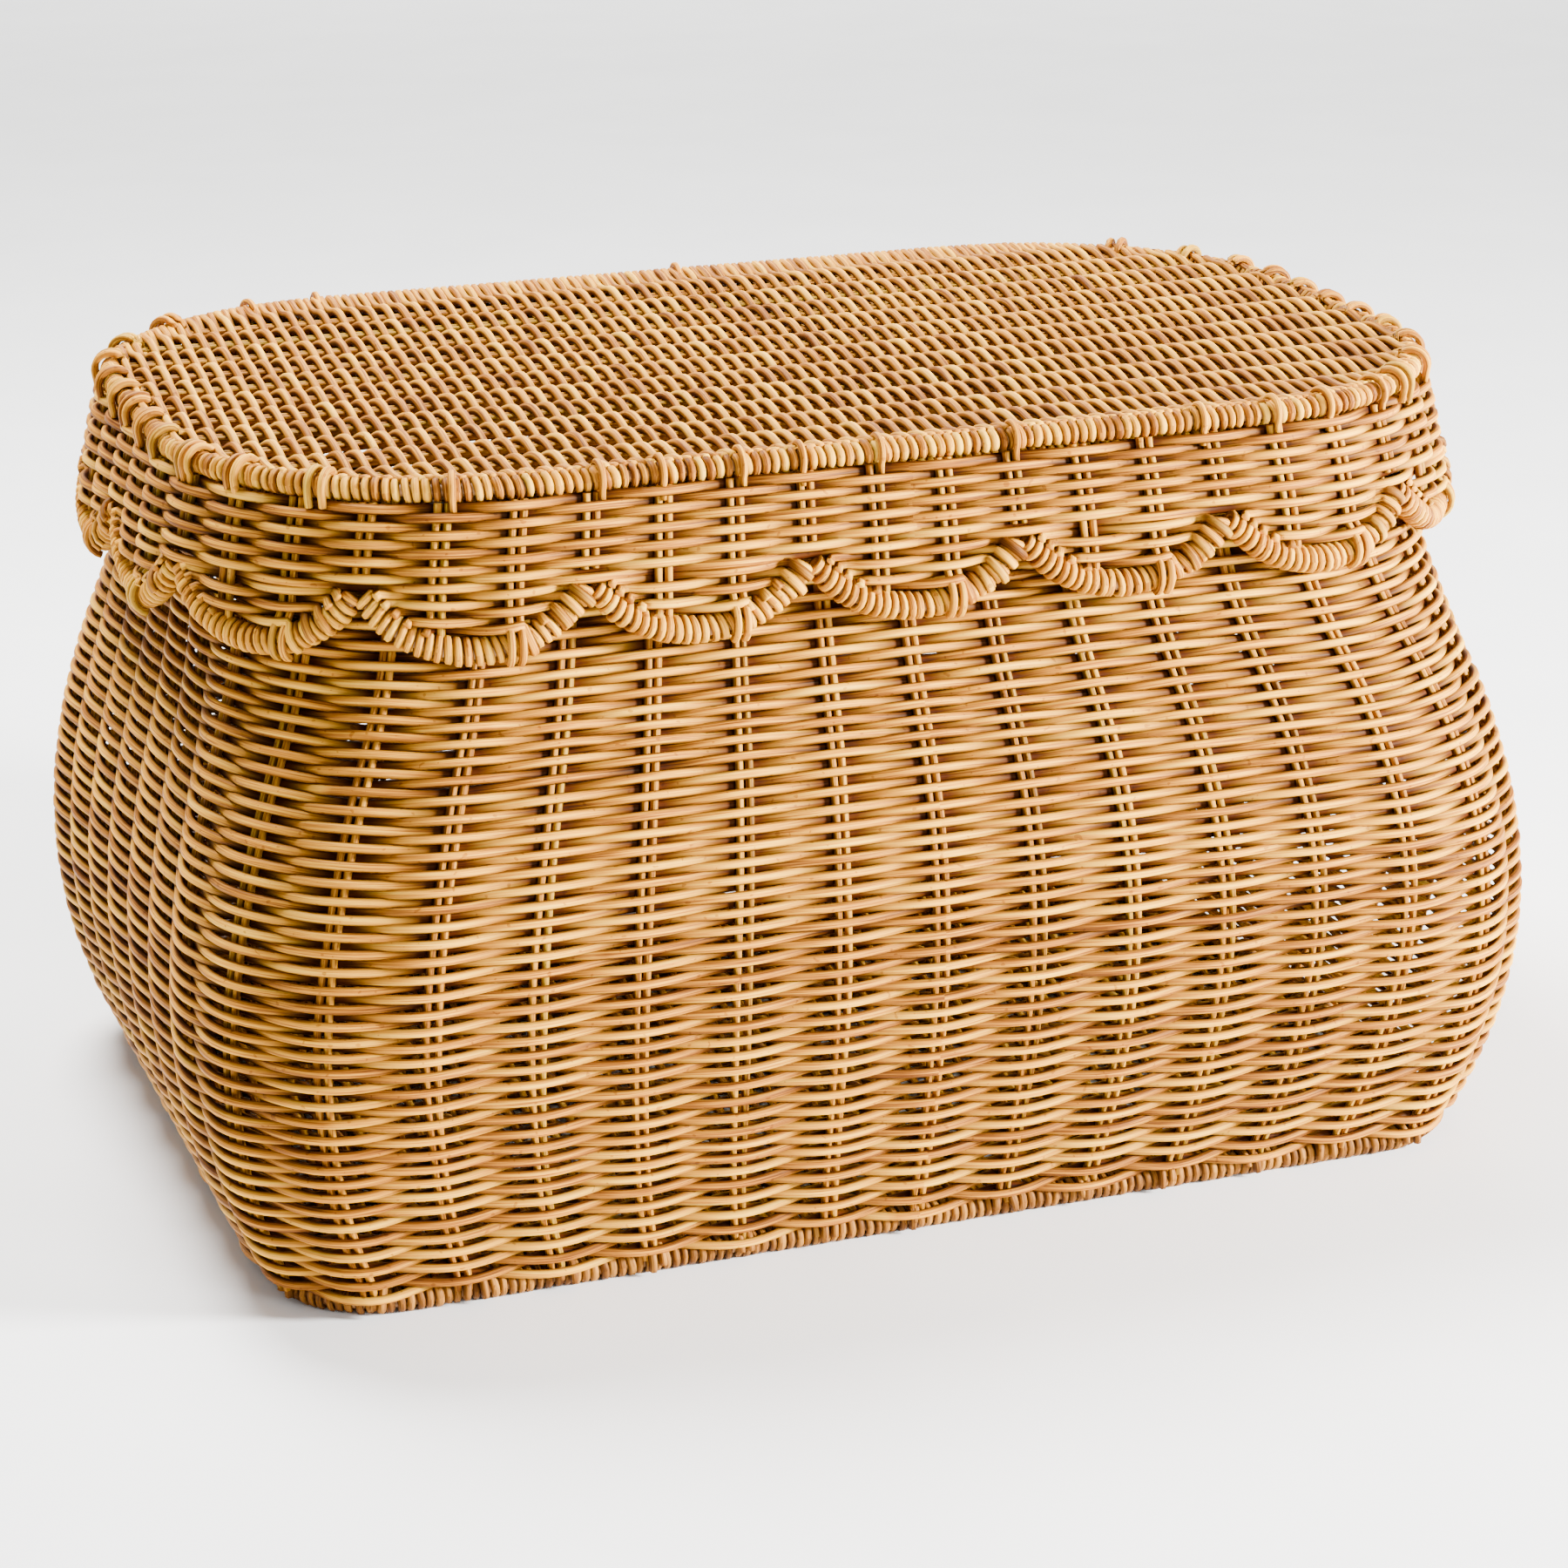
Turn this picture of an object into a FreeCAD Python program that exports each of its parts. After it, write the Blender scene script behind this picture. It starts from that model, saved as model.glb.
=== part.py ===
import FreeCAD, Part
import math
import os

# Woven rattan hamper with a loose scalloped lid, in millimetres.
# The origin is on the floor under the hamper's middle, +X runs along its length and +Z is up.
# An outline is a rounded rectangle (half length, half width, corner radius).
# The basket is one woven unit. The lid is a shallow woven cap whose skirt hangs round the mouth.

HEIGHT = 404.0                 # floor to the top of the lid's rim

# Strands
WEAVER_D = 4.4                 # round reed that the rows are woven from
STAKE_D = 3.5                  # upright rods, always in pairs
STAKE_PAIR_GAP = 5.3           # between the two rods of an upright pair, centre to centre
STRINGER_PAIR_GAP = 4.4        # the same in the floor and the lid's top
WEAVE_REACH = STAKE_D / 2 + WEAVER_D    # stake plane to the outside of the rows
WEAVE_T = 2 * WEAVE_REACH - 1.3         # woven wall, with its hollows evened out

# Foot ring and floor
FOOT_OUTLINE = (310.0, 213.0, 49.0)
FOOT_ROD_R = 4.0
FOOT_ROPE_R = 7.0
FOOT_FLAT = 0.8                # how far the rope is worn flat underneath
FLOOR_T = 9.0
FLOOR_STRINGERS = 11           # pairs of lengthwise rods

# Wall of the basket: outside outlines from the floor to the mouth
WALL_SECTIONS = [
    (0.0, (316.0, 219.0, 55.0)),
    (89.0, (350.0, 244.0, 80.0)),
    (182.0, (350.0, 254.0, 103.0)),
    (263.0, (331.5, 233.0, 114.0)),
    (318.0, (320.0, 207.0, 121.0)),
    (353.0, (317.0, 199.0, 124.0)),
    (392.0, (312.0, 190.0, 127.0)),
]
WALL_STAKES = 44
MOUTH_ROD_R = 3.5
MOUTH_ROPE_R = 6.5
LID_PLAY = 0.5                 # mouth rope to the underside of the lid

# Lid
RIM_OUTLINE = (330.0, 206.0, 146.0)     # outside of the rim
RIM_ROD_R = 3.0
RIM_ROPE_R = 6.25
PANEL_T = 10.5
PANEL_STRINGERS = 11           # pairs of lengthwise rods

# Skirt: how far its stakes stand outside the rim's outline, and how it is scalloped
SCALLOPS = 18
SKIRT_TOP_OUT = -3.0
SKIRT_JUNCTION_OUT = 6.0
SKIRT_BOTTOM_OUT = 10.0
JUNCTION_DROP = 50.4           # top of the rim to where two scallops meet
SCALLOP_DEPTH = 28.75          # drop of the scallop's rod between its ends
SCALLOP_ROD_R = 3.25
SCALLOP_ROPE_R = 7.25
ROD_END = 0.028                # rod and rope stop this part of a scallop short of its ends
ROPE_END = 0.051
SKIRT_STAKES_PER_SCALLOP = 3
SKIRT_LIP = 1.0                # flat left under each woven field
CUT_REACH = 40.0               # how far the cutting prisms run past what they cut
PATH_POINTS = 7                # points along each scallop's rod
BEND_SHARE = 0.45              # how much of the shorter run each bend of an upright rod takes up
STRAIGHT_ENOUGH = math.radians(0.3)     # turns under this are left straight

UP = FreeCAD.Vector(0, 0, 1)

RIM_Z = HEIGHT - RIM_ROPE_R
RIM_UNDER_Z = HEIGHT - 2 * RIM_ROPE_R
PANEL_UNDER_Z = RIM_Z - PANEL_T / 2
MOUTH_Z = PANEL_UNDER_Z - LID_PLAY - MOUTH_ROPE_R
FOOT_Z = FOOT_ROPE_R - FOOT_FLAT
FLOOR_Z = FOOT_Z + FLOOR_T / 4
JUNCTION_Z = HEIGHT - JUNCTION_DROP
SCALLOP_LOW_Z = JUNCTION_Z - SCALLOP_DEPTH


def grown(outline, step):
    """The outline moved outwards by step, or inwards if step is negative."""
    return tuple(value + step for value in outline)


def outline_length(outline):
    half_length, half_width, radius = outline
    return 4 * (half_length - radius) + 4 * (half_width - radius) + 2 * math.pi * radius


def outline_point(outline, fraction, z):
    """Point and outward normal at a fraction of the way round, from the front middle towards +X."""
    half_length, half_width, radius = outline
    bend = math.pi * radius / 2
    way = (fraction * outline_length(outline) + half_length - radius) % outline_length(outline)
    for turn in range(4):
        heading = turn * math.pi / 2
        along = FreeCAD.Vector(math.cos(heading), math.sin(heading), 0)
        out = FreeCAD.Vector(math.sin(heading), -math.cos(heading), 0)
        half_run, distance = half_length - radius, half_width
        if turn % 2:
            half_run, distance = half_width - radius, half_length
        if way <= 2 * half_run:
            return out * distance + along * (way - half_run) + UP * z, out
        way -= 2 * half_run
        if way <= bend:
            normal = out * math.cos(way / radius) + along * math.sin(way / radius)
            centre = out * (distance - radius) + along * half_run
            return centre + normal * radius + UP * z, normal
        way -= bend


def outline_wire(outline, z):
    """The outline as one closed wire of lines and arcs, starting at the front's left end."""
    half_length, half_width, radius = outline
    arc_middle = radius * (1 - math.sqrt(0.5))
    edges = []
    for turn in range(4):
        spin = FreeCAD.Rotation(UP, 90 * turn)
        reach, distance = half_length, half_width
        if turn % 2:
            reach, distance = half_width, half_length
        corner = [
            FreeCAD.Vector(-reach + radius, -distance, z),
            FreeCAD.Vector(reach - radius, -distance, z),
            FreeCAD.Vector(reach - arc_middle, -distance + arc_middle, z),
            FreeCAD.Vector(reach, -distance + radius, z),
        ]
        start, bend_start, bend_middle, bend_end = [spin.multVec(point) for point in corner]
        edges.append(Part.makeLine(start, bend_start))
        edges.append(Part.Arc(bend_start, bend_middle, bend_end).toShape())
    return Part.Wire(edges)


def slab(outline, low, high):
    return Part.Face(outline_wire(outline, low)).extrude(UP * (high - low))


def lofted(sections, step):
    """Solid through the sections' outlines, each grown by step."""
    return Part.makeLoft([outline_wire(grown(outline, step), z) for z, outline in sections], True, False)


def ring(outline, z, radius):
    """Round rod bent along the outline."""
    spine = outline_wire(outline, z)
    start = spine.Vertexes[0].Point
    profile = Part.Wire(Part.makeCircle(radius, start, FreeCAD.Vector(1, 0, 0)))
    return spine.makePipeShell([profile], True, False)


def rod(points, radius):
    """Round rod whose centre line runs smoothly through the points."""
    curve = Part.BSplineCurve()
    curve.interpolate(points)
    heading = curve.tangent(curve.FirstParameter)[0]
    profile = Part.Wire(Part.makeCircle(radius, points[0], heading))
    return Part.Wire(curve.toShape()).makePipeShell([profile], True, False)


def bent_rod(points, radius):
    """Round rod of straight runs joined by tangent arcs, one at each inner point that turns."""
    edges, start = [], points[0]
    for before, corner, after in zip(points, points[1:], points[2:]):
        into, out = (before - corner).normalize(), (after - corner).normalize()
        turn = math.pi - into.getAngle(out)
        if turn < STRAIGHT_ENOUGH:
            continue
        reach = BEND_SHARE * min((before - corner).Length, (after - corner).Length)
        radius_of_bend = reach / math.tan(turn / 2)
        bisector = (into + out).normalize()
        middle = corner + bisector * (radius_of_bend / math.cos(turn / 2) - radius_of_bend)
        edges.append(Part.makeLine(start, corner + into * reach))
        edges.append(Part.Arc(corner + into * reach, middle, corner + out * reach).toShape())
        start = corner + out * reach
    edges.append(Part.makeLine(start, points[-1]))
    profile = Part.Wire(Part.makeCircle(radius, points[0], points[1] - points[0]))
    return Part.Wire(edges).makePipeShell([profile], True, False)


def straight_rod(start, end, radius):
    return Part.makeCylinder(radius, (end - start).Length, start, end - start)


def pair_of(maker, outline_at_foot, fraction):
    """The two rods of one pair: maker is given each rod's own fraction round the outline."""
    half_gap = STAKE_PAIR_GAP / 2 / outline_length(outline_at_foot)
    return [maker(fraction - half_gap), maker(fraction + half_gap)]


def stringers(outline, pairs, z):
    """Pairs of lengthwise rods that fill the outline from side to side at an even pitch."""
    half_length, half_width, corner = outline
    pitch = 2 * half_width / (pairs + 1)
    rods = []
    for index in range(pairs):
        for side in (-0.5, 0.5):
            y = -half_width + pitch * (index + 1) + side * STRINGER_PAIR_GAP
            past_corner = max(abs(y) - (half_width - corner), 0.0)
            reach = half_length - corner + math.sqrt(corner ** 2 - past_corner ** 2) - STAKE_D
            start = FreeCAD.Vector(-reach, y, z)
            rods.append(straight_rod(start, FreeCAD.Vector(reach, y, z), STAKE_D / 2))
    return rods


def side_name(fraction):
    """Which side of the hamper a fraction of the way round lies on."""
    return ("front", "right", "back", "left")[int(round(fraction * 4)) % 4]


# Basket

def foot_parts():
    rod_ring = ring(FOOT_OUTLINE, FOOT_Z, FOOT_ROD_R)
    reach = 2 * FOOT_OUTLINE[0]
    below = Part.makeBox(2 * reach, 2 * reach, CUT_REACH, FreeCAD.Vector(-reach, -reach, -CUT_REACH))
    rope = ring(FOOT_OUTLINE, FOOT_Z, FOOT_ROPE_R).cut(below).cut(rod_ring)
    return {"base_ring": rod_ring, "base_ring_binding": rope}


def floor_parts():
    outline = grown(FOOT_OUTLINE, -FOOT_ROPE_R)
    low = FLOOR_Z - FLOOR_T / 2
    rods = stringers(outline, FLOOR_STRINGERS, FLOOR_Z)
    weave = slab(outline, low, low + FLOOR_T)
    for one in rods:
        weave = weave.cut(one)
    return {"floor_stringers": Part.makeCompound(rods), "floor_weave": weave}


def wall_weave():
    reach = 2 * FOOT_OUTLINE[0]
    low = FOOT_Z + FOOT_ROPE_R
    high = MOUTH_Z - MOUTH_ROPE_R
    band = Part.makeBox(2 * reach, 2 * reach, high - low, FreeCAD.Vector(-reach, -reach, low))
    return lofted(WALL_SECTIONS, 0).common(band).cut(lofted(WALL_SECTIONS, -WEAVE_T))


def on_run(low, high, z):
    """The point at height z on the straight run between two points."""
    return low + (high - low) * ((z - low.z) / (high.z - low.z))


def wall_stake(fraction):
    """Upright rod inside the wall, from the foot's rope to the mouth's."""
    points = [outline_point(grown(outline, -WEAVE_T / 2), fraction, z)[0] for z, outline in WALL_SECTIONS]
    points[0] = on_run(points[0], points[1], FOOT_Z + FOOT_ROPE_R)
    points[-1] = on_run(points[-2], points[-1], MOUTH_Z - MOUTH_ROPE_R)
    return bent_rod(points, STAKE_D / 2)


def wall_stakes():
    groups = {}
    middle = WALL_SECTIONS[len(WALL_SECTIONS) // 2][1]
    for index in range(WALL_STAKES):
        fraction = index / WALL_STAKES
        groups.setdefault("wall_stakes_" + side_name(fraction), []).extend(
            pair_of(wall_stake, middle, fraction))
    return {name: Part.makeCompound(rods) for name, rods in groups.items()}


def mouth_parts():
    outline = grown(WALL_SECTIONS[-1][1], -WEAVE_T / 2)
    rod_ring = ring(outline, MOUTH_Z, MOUTH_ROD_R)
    return {"mouth_ring": rod_ring, "mouth_binding": ring(outline, MOUTH_Z, MOUTH_ROPE_R).cut(rod_ring)}


# Lid

def rim_parts():
    outline = grown(RIM_OUTLINE, -RIM_ROPE_R)
    rod_ring = ring(outline, RIM_Z, RIM_ROD_R)
    return {"lid_ring": rod_ring, "lid_ring_binding": ring(outline, RIM_Z, RIM_ROPE_R).cut(rod_ring)}


def panel_parts():
    outline = grown(RIM_OUTLINE, -2 * RIM_ROPE_R)
    rods = stringers(outline, PANEL_STRINGERS, RIM_Z)
    weave = slab(outline, PANEL_UNDER_Z, PANEL_UNDER_Z + PANEL_T)
    for one in rods:
        weave = weave.cut(one)
    return {"lid_stringers": Part.makeCompound(rods), "lid_weave": weave}


def skirt_outline(z):
    """Outline of the skirt's stakes at height z, flaring down from the rim."""
    if z >= JUNCTION_Z:
        share = (RIM_UNDER_Z - z) / (RIM_UNDER_Z - JUNCTION_Z)
        return grown(RIM_OUTLINE, SKIRT_TOP_OUT + share * (SKIRT_JUNCTION_OUT - SKIRT_TOP_OUT))
    share = (JUNCTION_Z - z) / SCALLOP_DEPTH
    return grown(RIM_OUTLINE, SKIRT_JUNCTION_OUT + share * (SKIRT_BOTTOM_OUT - SKIRT_JUNCTION_OUT))


SCALLOP_WIDTH = outline_length(skirt_outline(JUNCTION_Z)) / SCALLOPS
SCALLOP_R = ((SCALLOP_WIDTH / 2) ** 2 + SCALLOP_DEPTH ** 2) / (2 * SCALLOP_DEPTH)
SCALLOP_CENTRE_Z = SCALLOP_LOW_Z + SCALLOP_R
FIELD_R = SCALLOP_R - SCALLOP_ROPE_R     # edge of the woven field, above the rope


def scallop_z(share, radius):
    """Height of a scallop's arc at a share of its width, 0 at one end and 1 at the other."""
    across = (share - 0.5) * SCALLOP_WIDTH
    return SCALLOP_CENTRE_Z - math.sqrt(radius ** 2 - across ** 2)


def notch(fraction):
    """Prism that cuts the skirt away between two scallops."""
    point, out = outline_point(skirt_outline(JUNCTION_Z), fraction, 0)
    along = UP.cross(out)

    def at(across, z):
        return point + along * across + UP * z - out * CUT_REACH

    low_z = SCALLOP_CENTRE_Z - FIELD_R + SKIRT_LIP
    apex_z = scallop_z(0, FIELD_R)
    half_width = SCALLOP_WIDTH / 2
    low_across = half_width - math.sqrt(FIELD_R ** 2 - (SCALLOP_CENTRE_Z - low_z) ** 2)
    bend = (math.acos((half_width - low_across) / FIELD_R) + math.acos(half_width / FIELD_R)) / 2
    mid_across = half_width - FIELD_R * math.cos(bend)
    mid_z = SCALLOP_CENTRE_Z - FIELD_R * math.sin(bend)
    edges = [
        Part.Arc(at(0, apex_z), at(mid_across, mid_z), at(low_across, low_z)).toShape(),
        Part.makeLine(at(low_across, low_z), at(low_across, low_z - CUT_REACH)),
        Part.makeLine(at(low_across, low_z - CUT_REACH), at(-low_across, low_z - CUT_REACH)),
        Part.makeLine(at(-low_across, low_z - CUT_REACH), at(-low_across, low_z)),
        Part.Arc(at(-low_across, low_z), at(-mid_across, mid_z), at(0, apex_z)).toShape(),
    ]
    return Part.Face(Part.Wire(edges)).extrude(out * 2 * CUT_REACH)


def skirt_weave():
    low_z = SCALLOP_CENTRE_Z - FIELD_R + SKIRT_LIP
    sections = [(z, skirt_outline(z)) for z in (low_z, JUNCTION_Z, RIM_UNDER_Z)]
    skirt = lofted(sections, WEAVE_T / 2).cut(lofted(sections, -WEAVE_T / 2))
    for index in range(SCALLOPS):
        skirt = skirt.cut(notch((index + 0.5) / SCALLOPS))
    return skirt


def skirt_stakes():
    groups = {}
    stakes = SCALLOPS * SKIRT_STAKES_PER_SCALLOP
    foot = skirt_outline(JUNCTION_Z)
    for index in range(stakes):
        share = (index % SKIRT_STAKES_PER_SCALLOP) / SKIRT_STAKES_PER_SCALLOP
        fraction = (index / SKIRT_STAKES_PER_SCALLOP - 0.5) / SCALLOPS
        low_z = scallop_z(share, FIELD_R)

        def stake(where):
            start = outline_point(skirt_outline(RIM_UNDER_Z), where, RIM_UNDER_Z)[0]
            return straight_rod(start, outline_point(skirt_outline(low_z), where, low_z)[0], STAKE_D / 2)

        groups.setdefault("skirt_stakes_" + side_name(fraction), []).extend(pair_of(stake, foot, fraction))
    return {name: Part.makeCompound(rods) for name, rods in groups.items()}


def scallop_path(index, end):
    """Points along a scallop's rod, stopping a share of its width short of both ends."""
    points = []
    for step in range(PATH_POINTS):
        share = end + (1 - 2 * end) * step / (PATH_POINTS - 1)
        z = scallop_z(share, SCALLOP_R)
        points.append(outline_point(skirt_outline(z), (index + share - 0.5) / SCALLOPS, z)[0])
    return points


def scallop_parts():
    parts = {}
    for index in range(SCALLOPS):
        core = rod(scallop_path(index, ROD_END), SCALLOP_ROD_R)
        parts["scallop_rod_%02d" % (index + 1)] = core
        rope = rod(scallop_path(index, ROPE_END), SCALLOP_ROPE_R)
        parts["scallop_binding_%02d" % (index + 1)] = rope.cut(core)
    return parts


def build():
    parts = {"wall_weave": wall_weave(), "skirt_weave": skirt_weave()}
    for group in (foot_parts, floor_parts, wall_stakes, mouth_parts, rim_parts, panel_parts, skirt_stakes,
                  scallop_parts):
        parts.update(group())
    return parts


os.makedirs("parts", exist_ok=True)
for node, shape in build().items():
    shape.exportStep("parts/%s.step" % node)
    print("%-24s solids %3d  valid %s  volume %10.0f" % (node, len(shape.Solids), shape.isValid(), shape.Volume))
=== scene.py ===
import math

import bmesh
import bpy
import numpy as np
from mathutils import Matrix, Vector


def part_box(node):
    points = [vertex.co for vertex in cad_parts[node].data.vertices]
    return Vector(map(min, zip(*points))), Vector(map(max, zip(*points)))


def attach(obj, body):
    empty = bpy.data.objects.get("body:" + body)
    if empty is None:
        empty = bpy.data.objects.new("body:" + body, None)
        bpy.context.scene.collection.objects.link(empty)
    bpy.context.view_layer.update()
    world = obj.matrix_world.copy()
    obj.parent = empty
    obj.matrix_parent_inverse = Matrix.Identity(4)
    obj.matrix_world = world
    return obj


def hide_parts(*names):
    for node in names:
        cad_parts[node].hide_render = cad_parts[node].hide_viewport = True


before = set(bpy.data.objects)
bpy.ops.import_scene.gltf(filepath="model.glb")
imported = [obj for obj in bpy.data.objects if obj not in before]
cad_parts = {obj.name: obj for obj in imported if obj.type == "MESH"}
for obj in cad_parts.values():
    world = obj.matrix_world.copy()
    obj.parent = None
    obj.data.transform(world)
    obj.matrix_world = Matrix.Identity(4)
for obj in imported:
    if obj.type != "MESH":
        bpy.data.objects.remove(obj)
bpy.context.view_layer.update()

# Woven rattan hamper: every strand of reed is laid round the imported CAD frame. Metres throughout.
# A fraction is a share of the way round an outline, from the front middle towards +X.
# An outline is a rounded rectangle: half length, half width, corner radius.

MM = 0.001
UP = np.array([0.0, 0.0, 1.0])

# Reed
WEAVER_R = 2.35 * MM           # rows of the wall
SKIRT_WEAVER_R = 2.5 * MM
PANEL_WEAVER_R = 2.3 * MM      # rows of the lid's top and the floor
STAKE_R = 2.0 * MM             # upright and lengthwise rods, in pairs
STAKE_GAP = 5.0 * MM           # between the two rods of an upright pair
STRINGER_GAP = 4.0 * MM        # the same in the lid's top and the floor
STRAND_SIDES = 6               # flats round every strand
SQUEEZE = 0.9                  # a row bites a little into the rods that it crosses
WALL_T = 11.0 * MM             # thickness of the plain woven shells in the frame

# Weave counts
WALL_STAKES = 44
WALL_ROW_PITCHES = 4.6 * MM, 3.85 * MM, 4.5 * MM      # at the foot, the belly and the neck
WALL_BANDS = 4                 # the wall's rows are split into pieces of even size
SKIRT_STAKES_PER_SCALLOP = 3
SKIRT_ROW_PITCH = 3.95 * MM
LID_PITCHES = 4.5 * MM, 3.95 * MM        # at the left end and at the right
FLOOR_PITCH = 5.0 * MM
LID_STRINGERS = 11
FLOOR_STRINGERS = 11
PANEL_STEP = 4.6 * MM          # between the points of a panel's row

# Unevenness of hand weaving
ROW_SWELL = 0.35 * MM          # slow waves that neighbouring rows share
ROW_WANDER = 0.16 * MM         # each row's own, up and down
ROW_OFF_WANDER = 0.25 * MM     # and in and out of the surface
PANEL_ROW_WANDER = 0.35 * MM
STRINGER_WANDER = 0.3 * MM
STAKE_SWAY = 0.0003            # an upright rod's, as a share of the way round
TURN_WANDER = 0.12 * MM        # where a turn of a wound ring sits
TURN_UNEVEN = 0.35 * MM        # how tight and how slanted the turn is

# Where the wall's rows start
FIRST_ROW_RISE = 6.0 * MM      # above the middle of the foot ring
FIRST_ROW_DIP = 1.6 * MM       # a first row dips in front of the stakes and rises as much behind them
DIPPING_ROWS = 2.5             # the dip shrinks to about a third over this many rows

# Wound rods
RIM_ROPE_R = 6.25 * MM
MOUTH_ROPE_R = 6.5 * MM
FOOT_ROPE_R = 7.0 * MM
SCALLOP_ROPE_R = 7.25 * MM
WRAP_CORNERS = 12              # points in one turn of reed round a rod
RIM_PITCH = 4.6 * MM           # from one turn to the next
MOUTH_PITCH = 4.8 * MM
FOOT_PITCH = 4.6 * MM
SCALLOP_PITCH = 4.4 * MM
FIELD_BOW = 1.2 * MM           # a row in a scallop hangs down this far in its middle
RIM_WRAP_T = 2.0 * MM          # half thickness of the reed in a turn
MOUTH_WRAP_T = 1.5 * MM
FOOT_WRAP_T = 1.5 * MM
SCALLOP_WRAP_T = 1.9 * MM
SCALLOP_DEPTH = 28.75 * MM     # drop of a scallop's rod between its ends
JUNCTION_DROP = 50.4 * MM      # top of the rim to where two scallops meet

LID_SAG = 4.0 * MM
LID_PLANE_RISE = 0.5 * MM      # the top's middle plane lies this far above the middle line of the rim
LID_END_LIFT = RIM_ROPE_R - 2.2 * MM     # and the ends of its rows climb this much further, onto the rim
LID_ROW_SLANT = -0.045         # the lid's rows run askew: this far along the length for each step of width
LID_ROW_FAN = -0.02            # and this much more at the right end, less at the left
OVER_RIM_SHARE = 0.4           # of the skirt's pairs send a rod up over the rim
SCALLOPS = sum(name.startswith("scallop_rod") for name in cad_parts)
SKIRT_STAKES = SCALLOPS * SKIRT_STAKES_PER_SCALLOP
SIDES = "front", "right", "back", "left"


# ---------------------------------------------------------------- outlines

def outline_length(outline):
    half_length, half_width, radius = outline
    return 4 * (half_length - radius) + 4 * (half_width - radius) + 2 * math.pi * radius


def round_outline(outline, fraction):
    """Points (x, y) on the outline and their outward normals, for an array of fractions."""
    fraction = np.asarray(fraction, float)
    half_length, half_width, radius = [np.broadcast_to(v, fraction.shape) for v in outline]
    total = outline_length((half_length, half_width, radius))
    way = (fraction * total + half_length - radius) % total
    bend = math.pi * radius / 2
    points = np.zeros(fraction.shape + (2,))
    normals = np.zeros(fraction.shape + (2,))
    todo = np.ones(fraction.shape, bool)
    for turn in range(4):
        heading = turn * math.pi / 2
        along = np.array([math.cos(heading), math.sin(heading)])
        out = np.array([math.sin(heading), -math.cos(heading)])
        half_run, distance = half_length - radius, half_width
        if turn % 2:
            half_run, distance = half_width - radius, half_length
        straight = todo & (way <= 2 * half_run)
        points[straight] = (distance[:, None] * out + (way - half_run)[:, None] * along)[straight]
        normals[straight] = out
        todo &= ~straight
        way = way - 2 * half_run
        angle = way / radius
        bent = todo & (way <= bend)
        normal = np.cos(angle)[:, None] * out + np.sin(angle)[:, None] * along
        centre = (distance - radius)[:, None] * out + half_run[:, None] * along
        points[bent] = (centre + normal * radius[:, None])[bent]
        normals[bent] = normal[bent]
        todo &= ~bent
        way = way - bend
    return points, normals


def slice_outline(node, z):
    """The outside outline of a CAD node at height z, measured on its mesh."""
    cut = bmesh.new()
    cut.from_mesh(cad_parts[node].data)
    found = bmesh.ops.bisect_plane(cut, geom=cut.verts[:] + cut.edges[:] + cut.faces[:],
                                   plane_co=(0, 0, z), plane_no=(0, 0, 1))
    edge = np.abs([v.co[:2] for v in found["geom_cut"] if isinstance(v, bmesh.types.BMVert)])
    cut.free()
    half_length, half_width = edge.max(0)
    radius = (half_length + half_width - edge.sum(1).max()) / (2 - math.sqrt(2))
    return half_length, half_width, radius


class Wall:
    """The surface that a wall's stakes stand on: its outline at every height."""

    def __init__(self, heights, outlines):
        self.heights = np.asarray(heights)
        self.outlines = np.asarray(outlines)

    def outline(self, z):
        return tuple(np.interp(z, self.heights, self.outlines[:, k]) for k in range(3))

    def place(self, fraction, z, off=0.0):
        """Points at height z, pushed off the surface, with the surface's normals."""
        fraction, z, off = np.broadcast_arrays(np.asarray(fraction, float), z, off)
        step = 2 * MM
        xy, flat_normal = round_outline(self.outline(z), fraction)
        above = round_outline(self.outline(z + step), fraction)[0]
        below = round_outline(self.outline(z - step), fraction)[0]
        lean = np.einsum("ij,ij->i", above - below, flat_normal) / (2 * step)
        normal = np.column_stack([flat_normal, -lean])
        normal /= np.linalg.norm(normal, axis=1)[:, None]
        return np.column_stack([xy, z]) + normal * off[:, None], normal

    def row_heights(self, low, high, pitches):
        """Heights of rows that lie a pitch apart along the surface; pitches run from low to high."""
        samples = 400
        z = np.linspace(low, high, samples)
        _, half_width, _ = self.outline(z)
        pitch = np.interp(z, np.linspace(low, high, len(pitches)), pitches)[1:]
        steps = np.hypot(np.diff(z), np.diff(half_width))
        rows_passed = np.concatenate([[0], np.cumsum(steps / pitch)])
        rows = int(round(rows_passed[-1]))
        return np.interp(np.linspace(0, rows_passed[-1], rows + 1), rows_passed, z)


def wall_from_node(node, low, high, slices):
    """The middle surface of a woven shell, from slices of its CAD node, evened out over three slices."""
    heights = np.linspace(low, high, slices)
    outlines = np.array([slice_outline(node, z) for z in heights])
    kernel = np.ones(3) / 3
    for k in range(3):
        padded = np.pad(outlines[:, k], 1, mode="reflect", reflect_type="odd")
        outlines[:, k] = np.convolve(padded, kernel, "valid")
    return Wall(heights, outlines - WALL_T / 2)


# ---------------------------------------------------------------- strands

def wander(rng, way, size, waves=4, periodic=True):
    """A smooth random wave along a strand; way runs from 0 to 1, and the ends meet if periodic."""
    total = np.zeros(np.shape(way))
    for wave in range(1, waves + 1):
        turns = wave if periodic else wave * rng.uniform(0.6, 1.2)
        total += np.sin(2 * math.pi * (turns * way + rng.uniform())) * rng.normal() / math.sqrt(wave)
    return size * total / math.sqrt(waves)


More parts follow.
